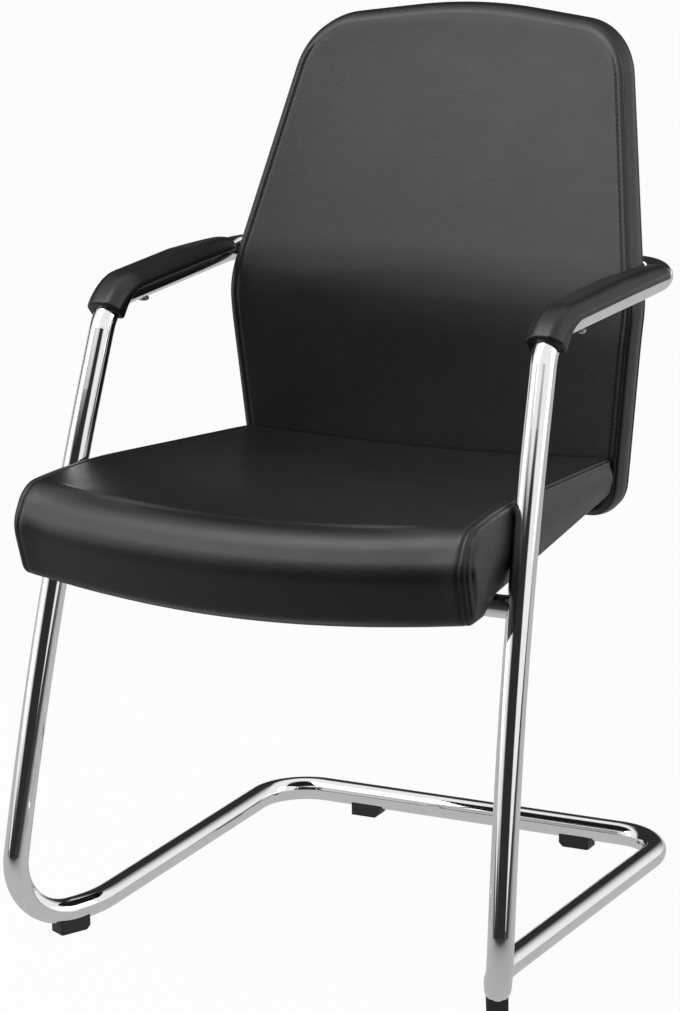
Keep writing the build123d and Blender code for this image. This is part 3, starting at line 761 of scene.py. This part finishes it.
@dataclass
class Seat:
    """The upholstered seat: bowed waterfall front, dished top, tapering sides with a sewn edge."""

    shift: float
    back: Back
    front_y: float = -0.283
    front_bow: float = 0.025
    front_half_width: float = 0.243
    rear_half_width: float = 0.208
    top_z: float = 0.475
    rear_top_z: float = 0.452
    dip: float = 0.011
    nose_z: float = 0.434
    nose_rise: float = 0.036
    ridge_setback: float = 0.020
    crest_setback: float = 0.105
    lip_z: float = 0.366
    lip_rise: float = 0.015
    lip_setback: float = 0.015
    lip_length: float = 0.032
    floor_front_z: float = 0.391
    floor_rear_z: float = 0.412
    floor_setback: float = 0.076
    floor_recess: float = 0.0009
    rear_gap: float = 0.0006
    side_round: float = 0.008
    side_bulge: float = 0.0035
    rounds: tuple[float, ...] = (0.009, 0.016, 0.012, 0.014, 0.034, 0.032, 0.900, 0.009)
    arcs: tuple[int, ...] = (4, 4, 4, 6, 12, 12, 12, 6)
    runs: tuple[int, ...] = (42, 2, 2, 7, 3, 8, 30, 4)
    across: int = 51
    side_rows: int = 9
    thin_side: float = 0.03
    seam_blur: int = 5
    lining_margin: float = 0.010
    lining_clearance: float = 0.0001
    lining_thickness: float = 0.0005
    lining_grid: tuple[int, int] = (31, 41)
    padding: Padding = field(default_factory=lambda: Padding(cap=0.0035))

    def half_width(self, y: Array) -> Array:
        """Half the width at one depth, between straight tapering sides."""
        share = (y - self.front_y) / (self.back.front_y - self.front_y)
        return self.front_half_width + (self.rear_half_width - self.front_half_width) * share

    def floor(self, y: Array) -> Array:
        """Height of the flat underside, which rises evenly to the rear."""
        start = self.front_y + self.floor_setback
        return self.floor_front_z + (self.floor_rear_z - self.floor_front_z) * (y - start) / (
            self.back.front_y - start)

    def sections(self, across: Array) -> Array:
        """Side profiles in y and z at shares across the width, rolled to start at the middle of the nose.

        The front edge goes back, the lip rises and the dish fades as the square of the share. The rear follows the
        back's hollow.

        Args:
            across: shares of the half width, from -1 to 1.

        Returns:
            Closed lines of shape (shares, points, 2), up from the nose, over the top and back under the floor.
        """
        square = across ** 2
        front = self.front_y + self.front_bow * square
        rear = self.back.front(across * self.rear_half_width, np.full_like(across, self.floor_rear_z)) - self.rear_gap
        dip = self.dip * (1 - square)
        bottom = front + self.floor_setback
        lip = front + self.lip_setback
        level = self.lip_z + self.lip_rise * square
        corners = np.stack([
            np.stack([rear, self.floor(rear) + self.floor_recess], -1),
            np.stack([bottom, self.floor(bottom) + self.floor_recess], -1),
            np.stack([lip + self.lip_length, level], -1),
            np.stack([lip, level], -1),
            np.stack([front, self.nose_z - dip], -1),
            np.stack([front + self.ridge_setback, self.nose_z + self.nose_rise - dip], -1),
            np.stack([front + self.crest_setback, self.top_z - dip], -1),
            np.stack([rear, self.rear_top_z - dip], -1)], axis=1)
        loops = rounded(corners, self.rounds, self.arcs, self.runs)
        return np.roll(loops, -arc_middle(4, self.arcs, self.runs), axis=1)

    def build(self) -> bpy.types.Object:
        """Model the seat as one closed cushion, with its seams and stitches.

        Side profiles are carried across the width. Near the sides they are drawn in along their normals by the
        edge's section, and a ruled panel closes each side.

        Returns:
            The cushion.
        """
        middle_width = (self.front_half_width + self.rear_half_width) / 2
        edge, rise, turn = SEAM.rows(self.side_round)
        inner = np.linspace(-1.0, 1.0, self.across)
        shares = np.concatenate([inner * (1 - SEAM.border / middle_width), 1 - edge[:, 0] / middle_width])
        loops = self.sections(shares)
        normals = left_normals(loops)
        count = loops.shape[1]
        top = count // 2
        step = np.arange(count)
        lip_start = sum(self.arcs[:3]) + sum(self.runs[:3]) - arc_middle(4, self.arcs, self.runs) + count
        rear_top = sum(self.arcs[4:7]) + sum(self.runs[4:7]) - self.arcs[4] // 2
        sewn = ((step < rear_top) | (step > lip_start)).astype(float)
        sewn = np.pad(sewn, self.seam_blur // 2, mode="wrap")
        sewn = np.convolve(sewn, np.ones(self.seam_blur) / self.seam_blur, mode="valid")

        panel_loops = loops[:self.across]
        width = self.half_width(panel_loops[..., 0]) - SEAM.border
        panel = np.stack([inner[:, None] * width, panel_loops[..., 0], panel_loops[..., 1]], axis=-1)
        cover = np.concatenate([step[lip_start:], step[:rear_top + 1]])
        panel[:, cover] += self.padding.swell(panel[:, cover])

        rim_loops, rim_normals = loops[self.across:], normals[self.across:]
        lift = rise[:, None] * sewn[None]
        drop = edge[:, 1, None] - lift * np.cos(turn)[:, None]
        inset = edge[:, 0, None] - lift * np.sin(turn)[:, None]
        flat = rim_loops - rim_normals * drop[..., None]
        rim = np.stack([self.half_width(rim_loops[..., 0]) - inset, flat[..., 0], flat[..., 1]], axis=-1)
        upper = rim[-1, :top + 1]
        lower = rim[-1, (count - np.arange(top + 1)) % count]
        share = np.linspace(0.0, 1.0, self.side_rows)[None, :, None]
        side = upper[:, None] * (1 - share) + lower[:, None] * share
        height = np.linalg.norm(upper - lower, axis=1)[:, None]
        side[..., 0] += self.side_bulge * np.sin(pi * share[..., 0]) * smooth_step(height, 0.0, self.thin_side)
        seam_row = int(np.argmin(np.abs(edge[:, 0] - SEAM.inset)))
        move = np.array([0.0, self.shift, 0.0])
        grids, lines = [(panel + move, True)], []
        for hand in Side:
            flip = np.array([hand.value, 1.0, 1.0])
            border = panel[-1] if hand is Side.LEFT else panel[0]
            grids += [(np.concatenate([border[None], rim * flip]) + move, True), (side * flip + move, False)]
            out = np.concatenate([np.zeros((len(cover), 1)), rim_normals[seam_row][cover]], axis=1)
            lines.append(((rim[seam_row] * flip)[cover] + move, out))
        cushion = add_piece(mesh_of("seat_cushion", grids), LEATHER, levels=1)
        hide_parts("seat_cover", "seat_foam")
        SEAM.stitches("seat_stitches", lines)
        return cushion

    def line(self) -> bpy.types.Object:
        """Model the lining stretched under the seat.

        The plan has straight tapering sides and a front that goes back as the square of the share across. The cloth
        lies flat against the underside, and is a thin closed sheet.

        Returns:
            The lining.
        """
        rows, columns = self.lining_grid
        across = np.linspace(-1.0, 1.0, columns)[None]
        along = np.linspace(0.0, 1.0, rows)[:, None]
        start = self.front_y + self.floor_setback + self.lining_margin + self.front_bow * across ** 2
        end = self.back.front_y - self.lining_margin
        y = start + (end - start) * along
        x = across * (self.half_width(y) - self.lining_margin)
        low = np.stack([x, y + self.shift, self.floor(y) + self.lining_clearance], axis=-1)
        thick = np.array([0.0, 0.0, self.lining_thickness])
        rim = np.concatenate([low[0], low[1:, -1], low[-1, -2::-1], low[-2:0:-1, 0]])
        mesh = mesh_of("seat_lining", [(low, False), (low + thick, False), (np.stack([rim, rim + thick]), True)])
        lining = add_piece(mesh, LINING)
        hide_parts("seat_liner")
        return lining


@dataclass
class ArmPad:
    """A moulded pad on the arm: a soft-shouldered section that follows the tube over its front bend.

    Its sizes at the rear, along the arm and at the nose are the width, the rise over the tube's middle and the skirt
    below it.
    """

    shift: float
    arm_rear: Point = (0.246, 0.21648, 0.631)
    arm_front: Point = (0.2365, -0.073, 0.6195)
    leg_apex: Point = (0.25125, -0.190, 0.32025)
    bend: float = 0.048
    path_end_round: float = 0.001
    path_arcs: tuple[int, int, int] = (2, 40, 2)
    path_runs: tuple[int, int, int] = (60, 40, 2)
    tube_radius: float = 0.01265
    rear_y: float = 0.176
    taper: float = 0.100
    taper_power: float = 0.7
    nose_drop: float = -0.019
    rear_sizes: tuple[float, float, float] = (0.030, 0.015, -0.001)
    arm_sizes: tuple[float, float, float] = (0.043, 0.022, -0.006)
    nose_sizes: tuple[float, float, float] = (0.038, 0.019, 0.006)
    shoulder_share: float = 0.5
    crown_share: float = 0.55
    rounds: tuple[float, ...] = (0.003, 0.009, 0.012, 0.012, 0.009, 0.003)
    arcs: tuple[int, ...] = (4, 6, 6, 6, 6, 4)
    runs: tuple[int, ...] = (3, 2, 4, 2, 3, 2)
    lower_corners: tuple[bool, ...] = (True, True, False, False, True, True)
    full_side: float = 0.009
    stations: int = 72
    end_round: float = 0.0028
    end_turns: tuple[float, ...] = (90, 65, 40, 18)
    end_skirt_share: float = 0.5

    def path(self) -> tuple[Array, float, float]:
        """The arm's centre line from the pad's rear end to its nose.

        Returns:
            Points along the line, and the distances at which the full section and the front bend begin.
        """
        corners = np.array([self.arm_rear, self.arm_front, self.leg_apex])
        arcs, runs = self.path_arcs, self.path_runs
        line = rounded(corners[None], (self.path_end_round, self.bend, self.path_end_round), arcs, runs)[0]
        line = line[arcs[0]:arcs[0] + runs[0] + arcs[1] + runs[1]]
        depth, length = self.arm_front[1] - self.arm_rear[1], np.linalg.norm(corners[1] - corners[0])
        rear, full = [(y - self.arm_rear[1]) / depth * length for y in (self.rear_y, self.rear_y - self.taper)]
        bend_start = path_length(line[:runs[0] + 1])
        nose = path_length(line[:runs[0] + arcs[1] + 1]) + self.nose_drop
        distances = np.linspace(rear, nose, self.stations)
        return along_path(line, line, distances), full - rear, bend_start - rear

    def build(self, side: Side) -> bpy.types.Object:
        """Model one pad.

        The section is a rounded six-sided outline with a round groove for the tube. Its width, rise and skirt change
        along the arm, and both ends are rounded over by drawing the last sections in as a quarter circle.

        Args:
            side: the sitter's side that it is for.

        Returns:
            The pad.
        """
        path, full, bend_start = self.path()
        along = unit(np.gradient(path, axis=0))
        out = unit(np.cross(along, [1.0, 0.0, 0.0]))
        out *= np.where(out[:, 2:] - out[:, 1:2] > 0, 1.0, -1.0)
        lateral = np.cross(out, along)
        reached = np.concatenate([[0.0], np.cumsum(np.linalg.norm(np.diff(path, axis=0), axis=1))])
        tapered = np.clip(reached / full, 0.0, 1.0)[:, None] ** self.taper_power
        bent = np.clip((reached - bend_start) / (reached[-1] - bend_start), 0.0, 1.0)[:, None]
        rear, arm, nose = (np.array(sizes) for sizes in (self.rear_sizes, self.arm_sizes, self.nose_sizes))
        sizes = rear + (arm - rear) * tapered + (nose - arm) * bent
        turn = np.radians(self.end_turns)
        draw, push = self.end_round * (1 - np.cos(turn)), self.end_round * np.sin(turn)
        level = np.zeros(self.stations)
        drawn = np.concatenate([draw, level, draw[::-1]])
        pushed = np.concatenate([-push, level, push[::-1]])
        station = np.clip(np.arange(len(drawn)) - len(turn), 0, self.stations - 1)
        path = path[station] + along[station] * pushed[:, None]
        sizes, lateral, out = sizes[station], lateral[station], out[station]
        half, rise = sizes[:, 0] / 2 - drawn, sizes[:, 1] - drawn
        skirt = sizes[:, 2] - drawn * self.end_skirt_share
        shoulder, crown = rise * self.shoulder_share, half * self.crown_share
        corners = np.stack([np.stack(pair, -1) for pair in (
            (half, -skirt), (half, shoulder), (crown, rise),
            (-crown, rise), (-half, shoulder), (-half, -skirt))], axis=1)
        shallow = np.minimum(1.0, (shoulder + skirt) / self.full_side)[:, None]
        radii = np.array(self.rounds) * np.where(self.lower_corners, shallow, 1.0)
        outer = rounded(corners, radii, self.arcs, self.runs)[:, :-1]
        reach = np.arcsin(skirt / self.tube_radius)[:, None]
        angle = (pi + reach) + (-pi - 2 * reach) * np.linspace(0.0, 1.0, outer.shape[1])[None]
        groove = self.tube_radius * np.stack([np.cos(angle), np.sin(angle)], axis=-1)
        section = np.concatenate([outer, groove], axis=1)
        grid = path[:, None] + section[..., :1] * lateral[:, None] + section[..., 1:] * out[:, None]
        points = outer.shape[1]
        caps = [np.stack([grid[at, :points], grid[at, points:][::-1]]) for at in (0, -1)]
        flip, move = np.array([side.value, 1.0, 1.0]), np.array([0.0, self.shift, 0.0])
        grids = [(grid * flip + move, True)] + [(cap * flip + move, False) for cap in caps]
        name = side.name.lower() + "_arm_pad"
        pad = add_piece(mesh_of(name + "_cover", grids), MOULDED_PAD, levels=1)
        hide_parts(name)
        return pad


# Carried-over pieces

def dress_frame() -> None:
    """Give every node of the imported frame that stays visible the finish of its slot."""
    for row in frame["record"]["subparts"]:
        node = frame["nodes"][row["node"]]
        finish = SLOT_FINISH[row["material_slot"]]
        node.data.materials.clear()
        node.data.materials.append(finish.material())
        LOG.info("%s: %s", row["node"], finish.name)


# Studio

class Bearing(Enum):
    """Directions in the room, seen from the chair."""

    AHEAD = "towards the camera"
    BESIDE = "to the camera's right"
    HIGH = "up"


CardEdge = tuple[Bearing, float, float]


@dataclass(frozen=True)
class SoftBox:
    """A lamp with a glowing face: its place, the point it faces, its width and height, and its glow, 1 for white."""

    name: str
    place: Point
    aim: Point
    size: Span
    glow: float

    def hang(self) -> None:
        """Put the lamp into the scene, with the power that its face needs for its glow."""
        data = bpy.data.lights.new(self.name, "AREA")
        data.shape, data.size, data.size_y = "RECTANGLE", *self.size
        data.energy = self.glow * pi * self.size[0] * self.size[1]
        lamp = bpy.data.objects.new(self.name, data)
        lamp.location = self.place
        lamp.rotation_euler = (Vector(self.aim) - Vector(self.place)).to_track_quat("-Z", "Y").to_euler()
        bpy.context.scene.collection.objects.link(lamp)


@dataclass
class Studio:
    """A pale floor, soft boxes, and a camera where the photograph was taken.

    In reflections the room has three dark cards. Each is a list of soft edges: along a bearing, the card starts at
    the first number and is full at the second. The low card's upper left corner is cut away by an edge of each kind.
    """

    shift: float
    image_height: int = 1011
    focal_pixels: float = 3310.17
    sensor: float = 36.0
    camera_place: Point = (1.46557, -2.81464, 1.18764)
    camera_reach: float = 100.0
    yaw: float = radians(27.840)
    pitch: float = radians(13.659)
    roll: float = radians(-1.1105)
    floor_reach: float = 25.0
    floor_colour: Colour = (0.42, 0.42, 0.42)
    floor_white: float = 0.97
    floor_dim: float = 0.05
    floor_bright: float = 0.54
    floor_lit: Span = (-1.3, -0.1)
    ambient: float = 0.20
    card_depth: float = 0.97
    low_card: tuple[CardEdge, ...] = ((Bearing.AHEAD, 0.25, 0.38), (Bearing.BESIDE, -0.94, -0.86),
                                      (Bearing.BESIDE, 0.32, 0.20), (Bearing.HIGH, 0.48, 0.40))
    low_card_corner: tuple[CardEdge, CardEdge] = ((Bearing.BESIDE, -0.88, -0.66), (Bearing.HIGH, 0.12, 0.04))
    camera_card: tuple[CardEdge, ...] = ((Bearing.AHEAD, 0.84, 0.90), (Bearing.HIGH, 0.60, 0.45))
    rear_card: tuple[CardEdge, ...] = ((Bearing.AHEAD, -0.35, -0.55), (Bearing.BESIDE, 0.85, 0.35),
                                       (Bearing.HIGH, 0.02, 0.06), (Bearing.HIGH, 0.85, 0.70))
    boxes: tuple[SoftBox, ...] = (
        SoftBox("key_box", (-1.2, -1.75, 2.55), (0.0, 0.0, 0.6), (1.9, 1.5), 3.2),
        SoftBox("top_box", (-0.45, -0.90, 2.90), (0.0, -0.1, 0.6), (1.3, 1.1), 4.6),
        SoftBox("left_box", (-2.4, -1.6, 1.30), (0.0, 0.1, 0.7), (1.0, 1.8), 2.1),
        SoftBox("right_box", (2.6, 0.6, 1.5), (0.0, 0.0, 0.5), (1.2, 1.8), 1.5))

    def camera(self) -> None:
        """Set the camera from its place, its yaw and pitch, and its roll about its own axis."""
        back = Vector((sin(self.yaw) * cos(self.pitch), -cos(self.yaw) * cos(self.pitch), sin(self.pitch)))
        level = Vector((cos(self.yaw), sin(self.yaw), 0.0))
        high = back.cross(level)
        right = cos(self.roll) * level + sin(self.roll) * high
        up = cos(self.roll) * high - sin(self.roll) * level
        data = bpy.data.cameras.new("camera")
        data.sensor_fit, data.sensor_height = "VERTICAL", self.sensor
        data.lens = self.focal_pixels * self.sensor / self.image_height
        data.clip_end = self.camera_reach
        camera = bpy.data.objects.new("camera", data)
        place = Vector(self.camera_place) + Vector((0.0, self.shift, 0.0))
        camera.matrix_world = Matrix.Translation(place) @ Matrix((right, up, back)).transposed().to_4x4()
        bpy.context.scene.collection.objects.link(camera)
        bpy.context.scene.camera = camera

    @staticmethod
    def rays(graph: Graph) -> tuple[Value, Value]:
        """Switches that are 1 for what is looked at, also through glass, and for what is mirrored.

        Args:
            graph: the graph to add to.

        Returns:
            The switch for what is looked at and the one for what is mirrored.
        """
        ray = graph.node("ShaderNodeLightPath", {}, {})
        seen = Value(graph, ray.outputs["Is Camera Ray"]) + Value(graph, ray.outputs["Is Transmission Ray"])
        return seen, Value(graph, ray.outputs["Is Glossy Ray"])

    def floor(self) -> None:
        """Lay the floor: pale, white to the camera with the shadow kept, and brighter behind in reflections."""
        reach = self.floor_reach
        mesh = bpy.data.meshes.new("floor")
        mesh.from_pydata([(-reach, -reach, 0), (reach, -reach, 0), (reach, reach, 0), (-reach, reach, 0)], [],
                         [(0, 1, 2, 3)])
        made = bpy.data.materials.new("pale_floor")
        made.use_nodes = True
        graph = Graph(made.node_tree)
        seen, glossy = self.rays(graph)
        place = graph.value("ShaderNodeTexCoord", {}, {}, "Object")
        behind = graph.dot(place, (-sin(self.yaw), cos(self.yaw), 0.0)).ramp(*self.floor_lit)
        mirrored = self.floor_dim + behind * (self.floor_bright - self.floor_dim)
        cover = graph.value("ShaderNodeBsdfDiffuse", {}, {"Color": (*self.floor_colour, 1.0)})
        white = graph.value("ShaderNodeEmission", {}, {"Color": (1, 1, 1, 1), "Strength": seen + glossy * mirrored})
        mixed = graph.value("ShaderNodeMixShader", {}, {0: seen * self.floor_white + glossy, 1: cover, 2: white})
        graph.node("ShaderNodeOutputMaterial", {}, {"Surface": mixed})
        mesh.materials.append(made)
        floor = bpy.data.objects.new("floor", mesh)
        bpy.context.scene.collection.objects.link(floor)

    def world(self) -> None:
        """Fill the room with light: white where it is looked at, and with dark cards in reflections."""
        world = bpy.data.worlds.new("room")
        bpy.context.scene.world = world
        world.use_nodes = True
        graph = Graph(world.node_tree)
        seen, glossy = self.rays(graph)
        place = graph.value("ShaderNodeTexCoord", {}, {}, "Generated")
        along = {Bearing.AHEAD: graph.dot(place, (sin(self.yaw), -cos(self.yaw), 0.0)),
                 Bearing.BESIDE: graph.dot(place, (cos(self.yaw), sin(self.yaw), 0.0)),
                 Bearing.HIGH: graph.dot(place, (0.0, 0.0, 1.0))}
        low, camera, rear = [reduce(mul, [along[bearing].ramp(start, full) for bearing, start, full in card])
                             for card in (self.low_card, self.camera_card, self.rear_card)]
        left, under = [along[bearing].ramp(start, full) for bearing, start, full in self.low_card_corner]
        dark = (low * left.at_least(under)).at_least(camera).at_least(rear)
        bright = 1 - dark * self.card_depth
        level = seen + (1 - seen) * (glossy * bright + (1 - glossy) * self.ambient)
        sky = graph.value("ShaderNodeBackground", {}, {"Color": (1, 1, 1, 1), "Strength": level})
        graph.node("ShaderNodeOutputWorld", {}, {"Surface": sky})

    def build(self) -> None:
        """Set up the floor, the light and the camera."""
        self.floor()
        self.world()
        for box in self.boxes:
            box.hang()
        self.camera()
        bpy.context.scene.view_settings.view_transform = "Standard"


def main() -> None:
    """Build and dress the chair, then the studio round it."""
    logging.basicConfig(level=logging.INFO, format="%(name)s: %(message)s")
    tube_radius, rear_tube_y = 0.0125, 0.250
    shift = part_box("base_rear_tube")[1][1] - (rear_tube_y + tube_radius)
    LOG.info("rear offset of the packed frame %.4f m", shift)
    dress_frame()
    back = Back(shift)
    back.build()
    seat = Seat(shift, back)
    seat.build()
    seat.line()
    pad = ArmPad(shift)
    for side in Side:
        pad.build(side)
    Studio(shift).build()


if __name__ == "__main__":
    main()
